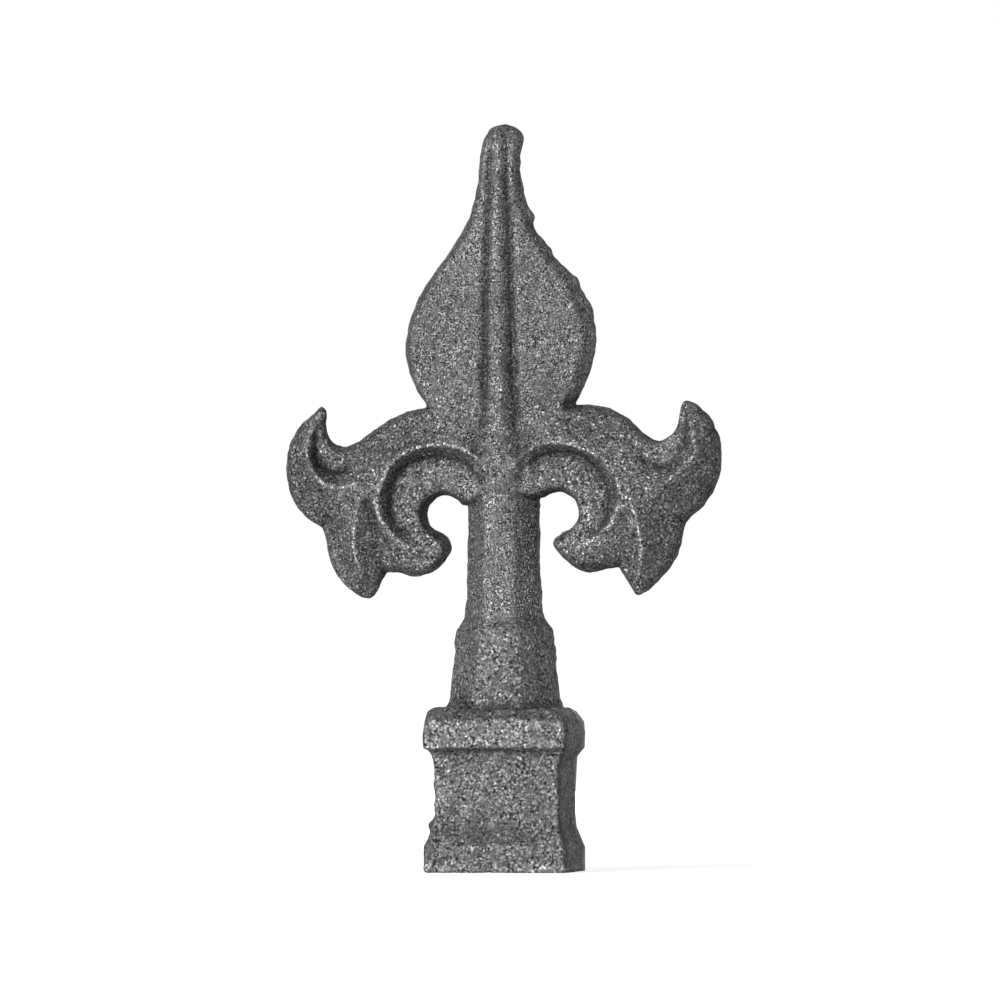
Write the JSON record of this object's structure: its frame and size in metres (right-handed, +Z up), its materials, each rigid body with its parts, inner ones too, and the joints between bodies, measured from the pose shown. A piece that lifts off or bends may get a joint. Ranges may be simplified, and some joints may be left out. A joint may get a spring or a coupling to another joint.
{
  "type": "railing spear finial",
  "caption": "Cast iron fleur-de-lis finial with a spear leaf and scrolled side petals, on a square base that fits over a railing bar.",
  "frame": {"origin": "middle of the square base's underside", "axes": "+Z up to the leaf's tip, +X across the petals, front and back along Y"},
  "size_m": [0.076, 0.025, 0.13],
  "materials": {
    "cast_iron": "raw shot-blasted casting"
  },
  "bodies": {
    "root": {"finial": "cast_iron"}
  },
  "joints": []
}
